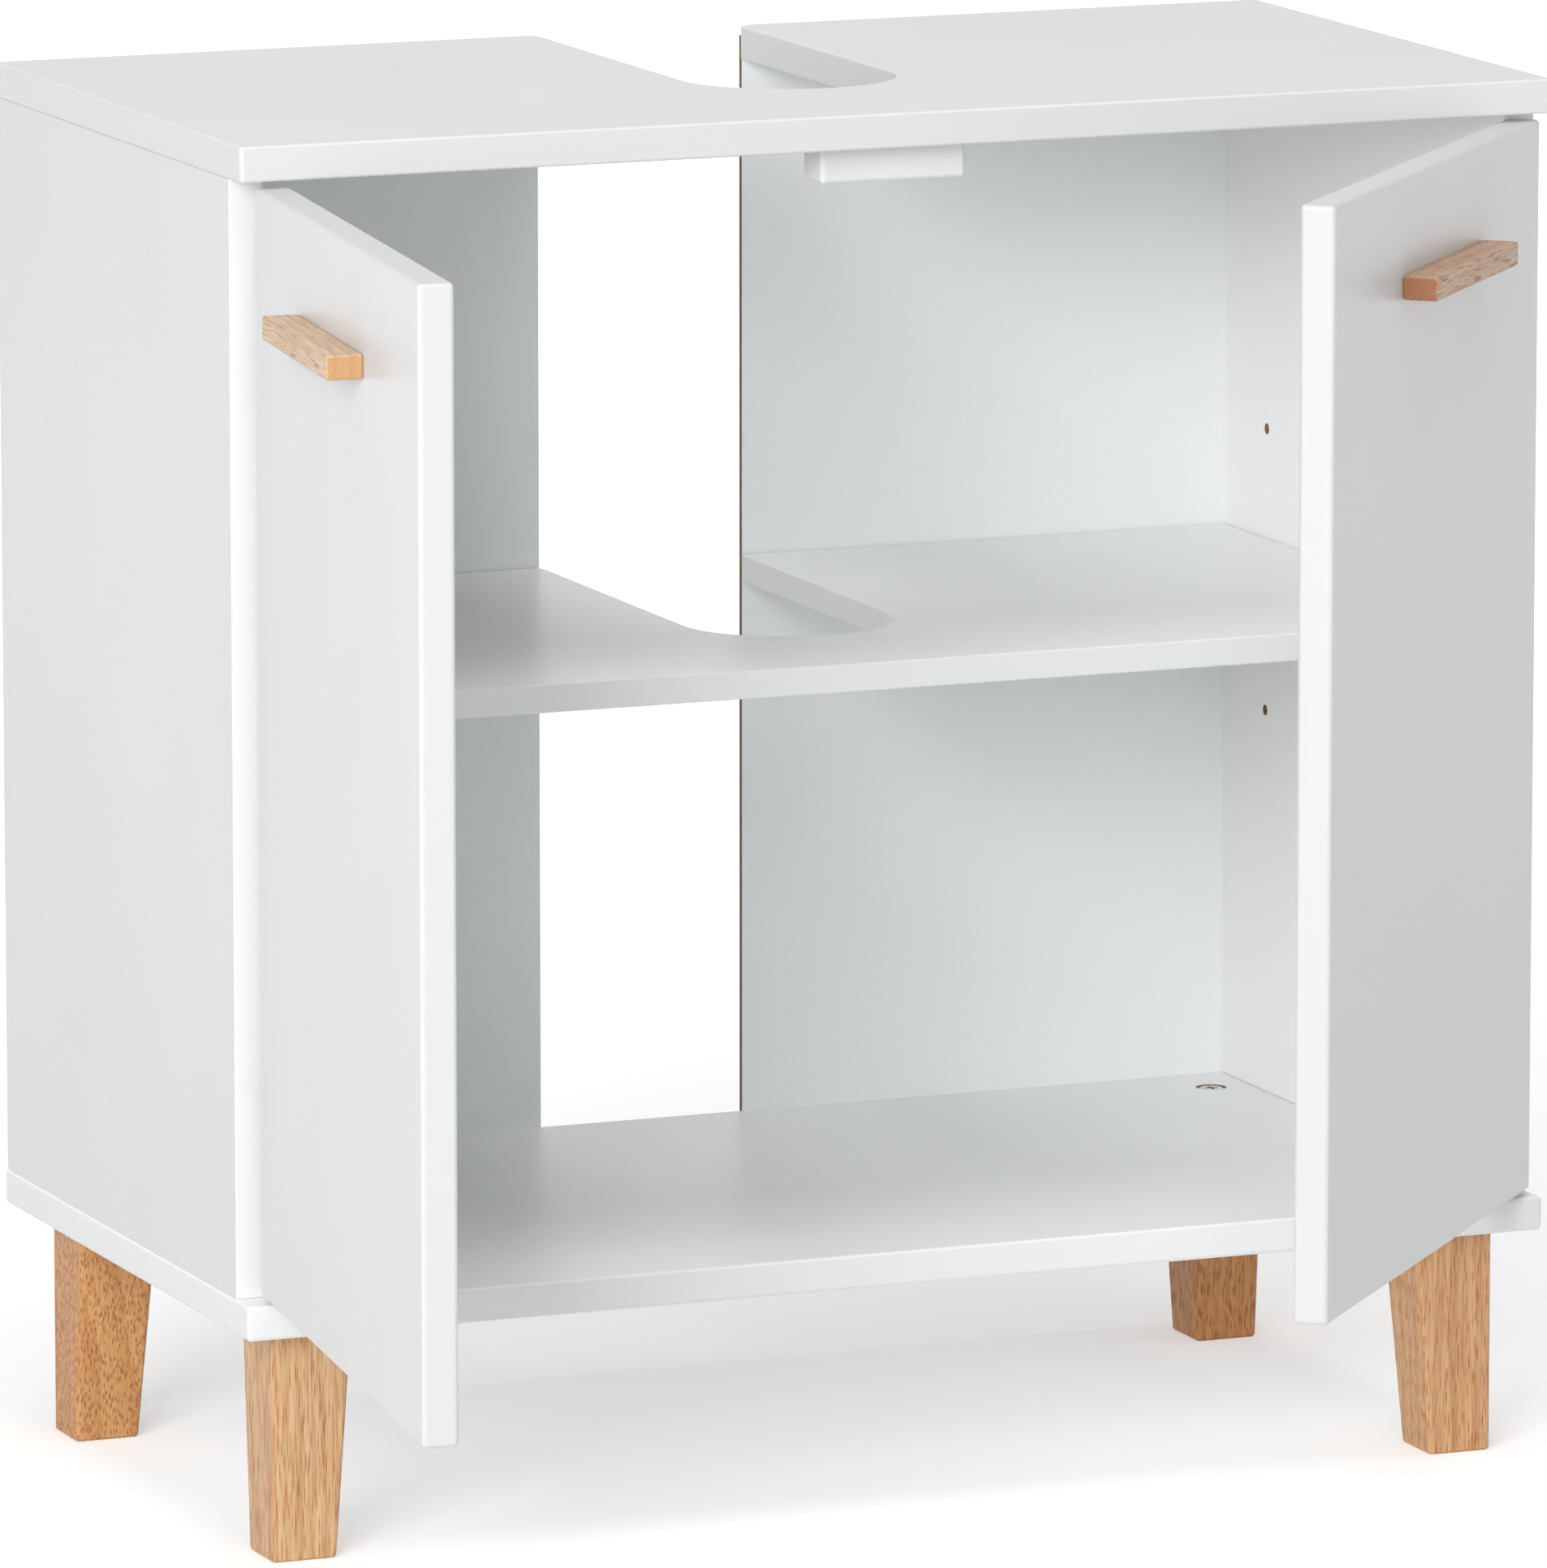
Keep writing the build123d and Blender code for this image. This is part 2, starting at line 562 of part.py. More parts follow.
def hinge_arm(z):
    """The hinge arm: a channel on the plate, and a nose whose two cheeks hold the arm's pin."""
    x = -SIDE_IN + RAIL
    pin = arm_pin_place(z)
    back, front = FRONT + FRONT_ROW + ARM_BACK, FRONT + ARM_FRONT
    channel = block(x, x + ARM_THICKNESS, front, back, z - ARM_HALF_HEIGHT, z + ARM_HALF_HEIGHT)
    channel = fillet(channel.edges().filter_by(Axis.Y), 2)
    nose = capsule(pin[:2], (x + 4.5, front + 4), 3.2, z, ARM_PIN_HALF)
    nose -= block(x - 5, x + 40, pin[1] - 10, front, z - LINK_HALF_HEIGHT - 0.4, z + LINK_HALF_HEIGHT + 0.4)
    return channel + nose - rod((pin[0], pin[1], z - 10), (0, 0, 1), 20, LINK_PIN_RADIUS)


def arm_screws(z):
    """The fixing screw and the adjusting screw in an arm."""
    pieces = []
    for place in ARM_SCREWS:
        seat = (-SIDE_IN + RAIL + ARM_THICKNESS, FRONT + FRONT_ROW + place, z)
        pieces.append(screw(seat, (-1, 0, 0), ARM_SCREW_LENGTH, 2.0, 3.4, 1.2))
    return pieces


def swing_left(shape):
    """Turn a left-door piece about the door's pivot to where it stands open."""
    pivot = Axis(door_point(PIVOT_U, PIVOT_W, 0), (0, 0, 1))
    return shape.rotate(pivot, -LEFT_OPENING)


def swing_right(shape):
    """Mirror a left-door piece to the right door and turn it to where it stands open."""
    x, y, _ = door_point(PIVOT_U, PIVOT_W, 0)
    return mirrored(shape).rotate(Axis((-x, y, 0), (0, 0, 1)), RIGHT_OPENING)


def turned_link(z, opening):
    """A link turned on its cup pin as far as the door's opening asks."""
    pin = Axis(door_point(CUP_PIN_U, CUP_PIN_W, 0), (0, 0, 1))
    return link(z).rotate(pin, LINK_RATIO * opening)


def cut(body, tools):
    """A body less each of the tools."""
    for tool in tools:
        body = body - tool
    return body


def build():
    """Every node of the cabinet, by name."""
    nodes = {}
    half = WIDTH / 2
    nails_left = panel_nails()
    nails = both_sides(nails_left)
    pins_of_legs = [(sx, sy) for sy in (-1, 1) for sx in (-1, 1)]
    bolts = [leg_bolt(*s) for s in pins_of_legs]
    fittings = dowels() + cam_bolts()

    top = u_board(half, FRONT, REAR, CEILING, HEIGHT, BOARD_SOFTNESS, MOUTH_RADIUS)
    top -= rebate_tool(CEILING - 1, CEILING + REBATE_HEIGHT)
    nodes["top_board"] = cut(top, fittings + nails + block_screws())
    bottom = soft_block(-half, half, FRONT, REAR, LEG_HEIGHT, FLOOR_TOP, BOARD_SOFTNESS)
    bottom -= rebate_tool(FLOOR_TOP - REBATE_HEIGHT, FLOOR_TOP + 1)
    for sx, sy in pins_of_legs:
        x, y = sx * LEG_CENTRE_X, sy * LEG_CENTRE_Y
        bottom -= rod((x, y, FLOOR_TOP + 1), (0, 0, -1), COUNTERBORE + 1, COUNTERBORE_RADIUS)
        bottom -= rod((x, y, FLOOR_TOP), (0, 0, -1), BOARD + 1, BOLT_RADIUS + 0.2)
        bottom -= leg_dowel(sx, sy)
    nodes["bottom_board"] = cut(bottom, fittings + nails)

    side = soft_block(-SIDE_OUT, -SIDE_IN, SIDE_FRONT, SIDE_REAR, FLOOR_TOP, CEILING, 0.8)
    side -= block(-SIDE_IN - REBATE_WIDTH, -SIDE_IN + 5, PANEL_FACE, REAR, FLOOR_TOP - 5, CEILING + 5)
    hinge_screws = [s for z in HINGE_LEVELS for s in plate_screws(z)]
    side = cut(side, cam_bores() + pin_holes() + dowels() + nails_left + hinge_screws)
    nodes["side_left"] = side
    nodes["side_right"] = mirrored(side)

    panel = cut(back_panel(), nails_left)
    nodes["back_panel_left"] = panel
    nodes["back_panel_right"] = mirrored(panel)
    nodes["panel_nails_left"] = nails_left
    nodes["panel_nails_right"] = [mirrored(n) for n in nails_left]

    shelf_half = SIDE_IN - SHELF_PLAY
    low = SHELF_TOP - SHELF_THICKNESS
    nodes["shelf"] = u_board(shelf_half, SIDE_FRONT, PANEL_FACE - SHELF_PLAY, low, SHELF_TOP, 1.0, 3.0)
    nodes["shelf_pins"] = shelf_pins()

    names = ("leg_front_left", "leg_front_right", "leg_rear_left", "leg_rear_right")
    for name, (sx, sy) in zip(names, pins_of_legs):
        nodes[name] = leg(sx, sy)
    nodes["leg_bolts"] = bolts
    nodes["leg_inserts"] = [leg_insert(*s) for s in pins_of_legs]
    nodes["leg_dowels"] = [leg_dowel(*s) for s in pins_of_legs]

    nodes["stop_block"] = stop_block()
    nodes["block_screws"] = block_screws()
    nodes["carcass_dowels"] = dowels()
    nodes["cam_bolts"] = cam_bolts()
    nodes["cam_nuts_left"] = cam_nuts()
    nodes["cam_nuts_right"] = [mirrored(n) for n in cam_nuts()]

    fixed = {
        "hinge_plates": [cut(hinge_plate(z), plate_screws(z) + arm_screws(z)) for z in HINGE_LEVELS],
        "plate_screws": hinge_screws,
        "hinge_arms": [cut(hinge_arm(z), arm_screws(z)) for z in HINGE_LEVELS],
        "arm_pins": [arm_pin(z) for z in HINGE_LEVELS],
        "arm_screws": [s for z in HINGE_LEVELS for s in arm_screws(z)],
    }
    for name, pieces in fixed.items():
        nodes[name + "_left"] = pieces
        nodes[name + "_right"] = [mirrored(p) for p in pieces]

    flange_screws = [s for z in HINGE_LEVELS for s in cup_screws(z)]
    cups = [cut(cup(z), [cup_pin(z)] + cup_screws(z)) for z in HINGE_LEVELS]
    swinging = {
        "door": [cut(door(), handle_screws() + flange_screws)],
        "handle": [cut(handle(), handle_screws())],
        "handle_screws": handle_screws(),
        "hinge_cups": cups,
        "cup_pins": [cup_pin(z) for z in HINGE_LEVELS],
        "cup_screws": flange_screws,
        "door_buffer": [door_buffer()],
    }
    for name, pieces in swinging.items():
        nodes[name + "_left"] = [swing_left(p) for p in pieces]
        nodes[name + "_right"] = [swing_right(p) for p in pieces]
    nodes["hinge_links_left"] = [swing_left(turned_link(z, LEFT_OPENING)) for z in HINGE_LEVELS]
    nodes["hinge_links_right"] = [swing_right(turned_link(z, RIGHT_OPENING)) for z in HINGE_LEVELS]
    return nodes


def solids_of(shape):
    """The solids of a piece or a list of pieces."""
    pieces = shape if isinstance(shape, list) else [shape]
    return [s for p in pieces for s in p.solids()]


os.makedirs("parts", exist_ok=True)
for node, shape in build().items():
    solids = solids_of(shape)
    whole = solids[0] if len(solids) == 1 else Compound(children=solids)
    whole.label = node
    export_step(whole, f"parts/{node}.step")
    print(node, len(solids), "solids", round(sum(s.volume for s in solids)), "mm3")
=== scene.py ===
# %% [markdown]
# A washbasin base cabinet with its doors open: white boards, oiled wooden legs and handles, and
# concealed hinges. The solid model is loaded first as a fixed frame, at its real size in metres,
# and everything after this dresses it.

# %% Load the cabinet
from math import cos, pi, radians, sin

import bpy
from mathutils import Matrix, Vector


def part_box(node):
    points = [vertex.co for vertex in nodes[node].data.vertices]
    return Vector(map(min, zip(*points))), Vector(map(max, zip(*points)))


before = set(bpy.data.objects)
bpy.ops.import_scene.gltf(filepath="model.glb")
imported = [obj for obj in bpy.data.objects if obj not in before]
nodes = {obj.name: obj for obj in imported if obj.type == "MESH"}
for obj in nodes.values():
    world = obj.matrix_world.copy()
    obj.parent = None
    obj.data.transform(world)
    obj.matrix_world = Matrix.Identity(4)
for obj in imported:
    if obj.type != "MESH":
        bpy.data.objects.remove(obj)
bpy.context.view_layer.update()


# %% [markdown]
# The photograph was taken a little above the top, from the left of the front, with a long lens.
# The camera was worked out from the corners of the boards, so it stands where the photographer's
# stood: nearly six metres away. A longer lens would flatten the doors, a shorter one would splay
# them. The place is in metres, the two angles are in radians, and the focal length is in the
# photograph's own pixels, from which the lens is worked out.

# %% Camera
PICTURE = (1906, 1932)
CAMERA_PLACE = Vector((-2.22745, -5.42612, 1.33836))
CAMERA_AZIMUTH = 0.3898
CAMERA_DOWN = 0.1765
FOCAL_PIXELS = 16861.8

camera_data = bpy.data.cameras.new("camera")
camera_data.sensor_width = 36.0
camera_data.lens = FOCAL_PIXELS * camera_data.sensor_width / max(PICTURE)
camera = bpy.data.objects.new("camera", camera_data)
bpy.context.scene.collection.objects.link(camera)
camera.location = CAMERA_PLACE
level = cos(CAMERA_DOWN)
looking = Vector((sin(CAMERA_AZIMUTH) * level, cos(CAMERA_AZIMUTH) * level, -sin(CAMERA_DOWN)))
camera.rotation_euler = looking.to_track_quat("-Z", "Y").to_euler()
bpy.context.scene.camera = camera
print("lens in millimetres:", round(camera_data.lens, 1))


# %% [markdown]
# A few small helpers serve every finish. The first adds a node, sets it and links it. The next two
# turn a colour as it is written for a screen into the linear light that the renderer works in,
# plain or a little lighter or darker.

# %% Node and colour helpers
def add(tree, kind, inputs=None, **settings):
    """Adds a node, sets its properties, and fills or links its inputs by name or number."""
    node = tree.nodes.new(kind)
    for name, value in settings.items():
        setattr(node, name, value)
    for key, value in (inputs or {}).items():
        if isinstance(value, bpy.types.NodeSocket):
            tree.links.new(value, node.inputs[key])
        else:
            node.inputs[key].default_value = value
    return node


def linear(code):
    """The linear colour of an sRGB hex code: each channel is raised out of the screen's curve."""
    channels = [int(code[i:i + 2], 16) / 255 for i in (1, 3, 5)]
    return tuple(c / 12.92 if c <= 0.04045 else ((c + 0.055) / 1.055) ** 2.4 for c in channels) + (1.0,)


def toned(code, factor):
    """A hex code's linear colour times a factor, and never brighter than white."""
    return tuple(min(1.0, c * factor) for c in linear(code)[:3]) + (1.0,)


print("mid grey in linear light:", round(linear("#808080")[0], 3))


# %% [markdown]
# A finish is a pattern of colour, roughness and relief over the piece. The patterns read Object
# coordinates, because these stay with the piece when its door turns, and they are scaled so that
# every size can be written in millimetres. The kind of each node in a finish is written out where
# it is used, so each finish reads from its first noise to its bump.

# %% Finish helpers
def new_finish(name):
    """A material with a principled shader, and the tree to build its pattern in."""
    material = bpy.data.materials.new(name)
    material.use_nodes = True
    tree = material.node_tree
    tree.nodes.clear()
    shader = add(tree, "ShaderNodeBsdfPrincipled")
    add(tree, "ShaderNodeOutputMaterial", {"Surface": shader.outputs[0]})
    return material, tree, shader


def in_millimetres(tree, stretch):
    """The place on the piece in millimetres, divided by a stretch along each axis."""
    place = add(tree, "ShaderNodeTexCoord").outputs["Object"]
    scale = tuple(1000.0 / s for s in stretch)
    return add(tree, "ShaderNodeMapping", {"Vector": place, "Scale": scale}).outputs[0]


def cover(tree, shader, colour, rough, height, strength, depth):
    """Links a colour, a roughness and a height to the shader. The relief's depth is in millimetres."""
    bump = add(tree, "ShaderNodeBump", {"Height": height, "Strength": strength, "Distance": depth / 1000})
    tree.links.new(colour, shader.inputs["Base Color"])
    tree.links.new(rough, shader.inputs["Roughness"])
    tree.links.new(bump.outputs[0], shader.inputs["Normal"])


def dress(names, material):
    """Puts a finish on CAD nodes, through their objects' own slots."""
    for name in names:
        for slot in nodes[name].material_slots:
            slot.material = material
    print(material.name, "on", len(names), "nodes")


def sided(stem):
    """The names of a left and right pair."""
    return [stem + "_left", stem + "_right"]


print("pieces to dress:", len(nodes))


# %% [markdown]
# Where a board is bored or grooved, its pressed brown core shows. The core is everything deeper
# than the foil, so a box a little smaller than the board finds it: the walls of a bore lie inside
# that box and the board's own faces lie outside. No mesh has to be cut for it. The box is in metres,
# as the frame is, and the chips of the core are in millimetres, as all patterns are.

# %% Bored core
SKIN = 0.00025
BAND = 0.003
CHIPS = (0.9, 0.9, 0.9)


def core_of(name, thin_axis, rear=BAND):
    """The box of a board's core, in metres: its box less a skin on the faces and a band on the edges."""
    low, high = (list(c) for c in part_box(name))
    for axis in range(3):
        margin = SKIN if axis == thin_axis else BAND
        low[axis] += margin
        high[axis] -= rear if axis == 1 else margin
    return low, high


def inside_box(tree, box):
    """1 where the surface lies inside a box in metres, else 0: the distance from its middle, each way."""
    middle = tuple((a + b) / 2 for a, b in zip(*box))
    half = tuple(2.0 / (b - a) for a, b in zip(*box))
    place = add(tree, "ShaderNodeTexCoord").outputs["Object"]
    moved = add(tree, "ShaderNodeVectorMath", {0: place, 1: middle}, operation="SUBTRACT")
    scaled = add(tree, "ShaderNodeVectorMath", {0: moved.outputs[0], 1: half}, operation="MULTIPLY")
    size = add(tree, "ShaderNodeVectorMath", {0: scaled.outputs[0]}, operation="ABSOLUTE")
    parts = add(tree, "ShaderNodeSeparateXYZ", {0: size.outputs[0]})
    wide = add(tree, "ShaderNodeMath", {0: parts.outputs[0], 1: parts.outputs[1]}, operation="MAXIMUM")
    most = add(tree, "ShaderNodeMath", {0: wide.outputs[0], 1: parts.outputs[2]}, operation="MAXIMUM")
    return add(tree, "ShaderNodeMath", {0: most.outputs[0], 1: 1.0}, operation="LESS_THAN").outputs[0]


def bored(tree, colour, core_box):
    """A board's colour, with chips of two browns wherever its core is open."""
    place = in_millimetres(tree, CHIPS)
    grit = add(tree, "ShaderNodeTexNoise", {"Vector": place, "Scale": 1.0, "Detail": 4.0})
    chip = add(tree, "ShaderNodeMix", {0: grit.outputs["Fac"], 6: linear("#6E533B"), 7: linear("#B79873")},
               data_type="RGBA")
    mixed = add(tree, "ShaderNodeMix", {0: inside_box(tree, core_box), 6: colour, 7: chip.outputs[2]},
                data_type="RGBA")
    return mixed.outputs[2]


bottom_core = core_of("bottom_board", 2)
print("core of the bottom board:", [[round(c, 4) for c in corner] for corner in bottom_core])


# %% [markdown]
# The boards are particle board and fibreboard pressed with white melamine foil or wrapped in it.
# Foil is matt to satin with a faint fine tooth that runs upright, left by the printed paper, so a
# plain white would look like paint. A stretched noise gives the tooth, too fine to see one by one
# in the render, so it is drawn at about half a millimetre, and a broad one lets the white drift.
# The edges wear a band of their own, found by how far the surface turns away from the board's thin
# direction. The band is real edge tape, but its tone off the faces is partly painted shade and light:
# front edges that the lamps light strongly are made darker than the faces, and edges in shade, such as
# the ends of the block, lighter. A door stands open in the solid model, so its direction is turned
# back by its opening first.

# %% White foil
FOIL_TOOTH = (0.55, 0.55, 3.0)
FOIL_DRIFT = (90.0, 90.0, 140.0)
TOOTH_DEPTH = 0.02
BAND_BELOW = 0.5
FOIL_ABOVE = 0.75
DRIFT_DARK = 0.972
DRIFT_LIGHT = 1.012
OPENINGS = {"left": -97.7, "right": 48.1}


def foil_tooth(tree):
    """The fine upright tooth of the printed paper, 0 to 1."""
    place = in_millimetres(tree, FOIL_TOOTH)
    return add(tree, "ShaderNodeTexNoise", {"Vector": place, "Scale": 1.0, "Detail": 2.0}).outputs["Fac"]


def edge_share(tree, thin_axis, opening):
    """0 on a board's faces and 1 on its edges, from the part of the normal along the thin axis."""
    normal = add(tree, "ShaderNodeTexCoord").outputs["Normal"]
    closed = add(tree, "ShaderNodeVectorRotate", {"Vector": normal, "Rotation": (0, 0, -radians(opening))},
                 rotation_type="EULER_XYZ")
    parts = add(tree, "ShaderNodeSeparateXYZ", {0: closed.outputs[0]})
    facing = add(tree, "ShaderNodeMath", {0: parts.outputs[thin_axis]}, operation="ABSOLUTE").outputs[0]
    share = add(tree, "ShaderNodeMapRange", {"Value": facing, "From Min": BAND_BELOW, "From Max": FOIL_ABOVE,
                                             "To Min": 1.0, "To Max": 0.0})
    return share.outputs[0]


def foil(name, white, band, thin_axis, roughness=0.38, core_box=None, tooth=0.35, opening=0.0):
    """White foil on a board's faces and a band on its edges, its tone partly painted shade and light. The
    core shows inside core_box, in metres.
    """
    material, tree, shader = new_finish(name)
    fine = foil_tooth(tree)
    place = in_millimetres(tree, FOIL_DRIFT)
    broad = add(tree, "ShaderNodeTexNoise", {"Vector": place, "Scale": 1.0, "Detail": 1.0}).outputs["Fac"]
    shade = add(tree, "ShaderNodeMath", {0: fine, 1: broad}, operation="ADD").outputs[0]
    share = add(tree, "ShaderNodeMapRange", {"Value": shade, "From Min": 0.7, "From Max": 1.3}).outputs[0]
    face = add(tree, "ShaderNodeMix", {0: share, 6: toned(white, DRIFT_DARK), 7: toned(white, DRIFT_LIGHT)},
               data_type="RGBA").outputs[2]
    # The band is edge tape, and its tone is partly painted shade and light.
    tape_and_painted_shade = edge_share(tree, thin_axis, opening)
    colour = add(tree, "ShaderNodeMix", {0: tape_and_painted_shade, 6: face, 7: linear(band)}, data_type="RGBA").outputs[2]
    if core_box:
        colour = bored(tree, colour, core_box)
    rough = add(tree, "ShaderNodeMapRange", {"Value": fine, "To Min": roughness - 0.04,
                                             "To Max": roughness + 0.05})
    cover(tree, shader, colour, rough.outputs[0], fine, tooth, TOOTH_DEPTH)
    return material


print("foil tooth in millimetres:", FOIL_TOOTH)


# %% [markdown]
# One finish with a white of its own for each board. The whites are partly the boards' own and
# partly painted shade and light: the top, the left side and the doors, which look a tone greyer than
# the inside, get greyer whites as painted shade, and the bottom, the shelf and the right side get
# brighter ones as painted light, so the two sides, of one foil, differ. The shelf shines a little
# more than the rest. The sides have a rebate for the back panel that is open to the rear, so their
# core reaches past the rear edge. The small block under the top is painted, with a coarse tooth, and
# its ends get a brighter white as painted light.

# %% Dress the boards
PAST_REAR = -0.001
# The top and the doors get greyer whites and the bottom and the shelf brighter ones, partly as painted shade
# and light.
dress(["top_board"], foil("melamine_foil_top", "#E3E3E3", "#DADADA", 2))
dress(["bottom_board"], foil("melamine_foil_bottom", "#FAFBFB", "#E5E6E6", 2, core_box=bottom_core))
# Both sides are one foil: the left gets a greyer white as painted shade, the right a brighter one as painted
# light.
for side, white in {"side_left": "#DADBDD", "side_right": "#FBFBFB"}.items():
    core_box = core_of(side, 0, rear=PAST_REAR)
    dress([side], foil("melamine_foil_" + side, white, "#E8E8E9", 0, core_box=core_box))
dress(["shelf"], foil("melamine_foil_shelf", "#FAFBFB", "#E4E6E6", 2, roughness=0.3))
for side, opening in OPENINGS.items():
    door = foil("melamine_foil_door_" + side, "#DDDEDF", "#D4D5D6", 1, roughness=0.34, opening=opening)
    dress(["door_" + side], door)
# The block's ends get pure white as painted light.
dress(["stop_block"], foil("painted_block", "#E6E7E7", "#FFFFFF", 1, roughness=0.5, tooth=1.0))


# %% [markdown]
# The back panels are high-density fibreboard, three millimetres thick: white lacquer on the inside,
# raw brown fibre on the back and at the sawn edges. The sawn edge is the thin brown line beside the
# pipe gap in the photograph. The finish is chosen by the way that the surface faces, and the raw
# fibre is a tangled noise with the shallow mesh that the press leaves.

# %% Hardboard
FIBRE = (1.6, 1.6, 1.6)
PRESS_MESH = (2.2, 2.2, 2.2)
PRESS_DEPTH = 0.15


def hardboard(name):
    """White on the faces that look forward, felted brown fibre on all others."""
    material, tree, shader = new_finish(name)
    normal = add(tree, "ShaderNodeNewGeometry").outputs["Normal"]
    back = add(tree, "ShaderNodeSeparateXYZ", {0: normal}).outputs[1]
    raw = add(tree, "ShaderNodeMath", {0: back, 1: -0.5}, operation="GREATER_THAN").outputs[0]
    place = in_millimetres(tree, FIBRE)
    tangle = add(tree, "ShaderNodeTexNoise", {"Vector": place, "Scale": 1.0, "Detail": 5.0,
                                              "Roughness": 0.65, "Distortion": 1.2}).outputs["Fac"]
    brown = add(tree, "ShaderNodeMix", {0: tangle, 6: linear("#5E4335"), 7: linear("#9A7A62")},
                data_type="RGBA")
    white = add(tree, "ShaderNodeMix", {0: foil_tooth(tree), 6: linear("#EFF3F3"), 7: linear("#F3F7F6")},
                data_type="RGBA")
    colour = add(tree, "ShaderNodeMix", {0: raw, 6: white.outputs[2], 7: brown.outputs[2]}, data_type="RGBA")
    rough = add(tree, "ShaderNodeMapRange", {"Value": raw, "To Min": 0.4, "To Max": 0.85})
    mesh = add(tree, "ShaderNodeTexVoronoi", {"Vector": in_millimetres(tree, PRESS_MESH), "Scale": 1.0},
               feature="DISTANCE_TO_EDGE")
    relief = add(tree, "ShaderNodeMath", {0: mesh.outputs["Distance"], 1: raw}, operation="MULTIPLY")
    cover(tree, shader, colour.outputs[2], rough.outputs[0], relief.outputs[0], 0.5, PRESS_DEPTH)
    return material


dress(sided("back_panel"), hardboard("hardboard_white_faced"))


# %% [markdown]
# Legs and handles are solid rubberwood, planed, sanded and oiled. It is a warm light brown with
# broad soft bands of growth, fine reddish streaks along the grain, and short dark dashes, which are
# its large pores cut lengthwise. On a sawn end the same pores are dots, and the end drinks more oil
# and turns orange. A solid pattern gives all of it from one recipe. Two parts of it come first: rings
# round a heart outside the piece, and long cells with a pore in some of them. A real pore is only a
# fifth of a millimetre wide, so the pores are drawn two or three times as wide to show at all.

# %% Rings and pores
RING = 5.5
RING_SHADE = 0.3
RING_TAPER = 0.02
SWAY = 9.0
SWAY_CELL = (14.0, 90.0)
PORE_CORE = 0.2
PORE_RIM = 0.5
PORE_FADE = 0.15


def along_grain(tree, grain, width, length):
    """The place in cells of a width across the grain and a length along it, in millimetres."""
    scale = (1 / width, 1 / width, 1 / length)
    return add(tree, "ShaderNodeMapping", {"Vector": grain, "Scale": scale}).outputs[0]


def growth_tone(tree, grain, heart):
    """A shade that grows across each ring, by the fraction of the swayed distance from the heart over
    a ring's width."""
    place = along_grain(tree, grain, *SWAY_CELL)
    sway = add(tree, "ShaderNodeTexNoise", {"Vector": place, "Scale": 1.0, "Detail": 2.0})
    push = add(tree, "ShaderNodeVectorMath", {0: sway.outputs["Color"], "Scale": SWAY}, operation="SCALE")
    swayed = add(tree, "ShaderNodeVectorMath", {0: grain, 1: push.outputs[0]}, operation="ADD")
    centred = add(tree, "ShaderNodeVectorMath", {0: swayed.outputs[0], 1: heart}, operation="ADD")
    flat = add(tree, "ShaderNodeVectorMath", {0: centred.outputs[0], 1: (1.0, 1.0, RING_TAPER)},
               operation="MULTIPLY")
    reach = add(tree, "ShaderNodeVectorMath", {0: flat.outputs[0]}, operation="LENGTH")
    turns = add(tree, "ShaderNodeMath", {0: reach.outputs["Value"], 1: 1.0 / RING}, operation="MULTIPLY")
    band = add(tree, "ShaderNodeMath", {0: turns.outputs[0]}, operation="FRACT")
    soft = add(tree, "ShaderNodeMapRange", {"Value": band.outputs[0], "To Min": 0.0, "To Max": RING_SHADE},
               interpolation_type="SMOOTHSTEP")
    return soft.outputs[0]


def pore_share(tree, grain, cell, crowding):
    """1 inside a pore: near the middle of a long cell, in the given share of the cells."""
    place = along_grain(tree, grain, *cell)
    cells = add(tree, "ShaderNodeTexVoronoi", {"Vector": place, "Scale": 1.0, "Randomness": 1.0}).outputs
    hole = add(tree, "ShaderNodeMapRange", {"Value": cells["Distance"], "From Min": PORE_CORE,
                                            "From Max": PORE_RIM, "To Min": 1.0, "To Max": 0.0})
    chance = add(tree, "ShaderNodeSeparateColor", {0: cells["Color"]}).outputs[0]
    kept = add(tree, "ShaderNodeMapRange", {"Value": chance, "From Min": 1.0 - crowding,
                                            "From Max": 1.0 + PORE_FADE - crowding})
    both = add(tree, "ShaderNodeMath", {0: hole.outputs[0], 1: kept.outputs[0]}, operation="MULTIPLY")
    return both.outputs[0]


print("rings every", RING, "mm, swayed by up to", SWAY, "mm")


# %% [markdown]
# The finish puts them together. The piece's own middle becomes the origin and its length becomes
# the grain's direction, so that one recipe serves an upright leg and a handle that lies across a
# turned door. The end grain is found by how far the surface looks along the grain.

# %% Oiled rubberwood
STREAK = (0.42, 18.0)
STREAK_SHADE = 0.6
PORE_SHADE = 0.85
END_SHADE = 0.8
GRAIN_DEPTH = 0.08


def sawn_share(tree, normal, turn):
    """0 on the long faces and END_SHADE on a sawn end, from the part of the normal along the grain."""
    facing = add(tree, "ShaderNodeVectorRotate", {"Vector": normal, "Rotation": turn},
                 rotation_type="EULER_XYZ")
    upward = add(tree, "ShaderNodeSeparateXYZ", {0: facing.outputs[0]}).outputs[2]
    sawn = add(tree, "ShaderNodeMath", {0: upward}, operation="ABSOLUTE").outputs[0]
    return add(tree, "ShaderNodeMapRange", {"Value": sawn, "From Min": 0.7, "From Max": 0.95,
                                            "To Min": 0.0, "To Max": END_SHADE}).outputs[0]


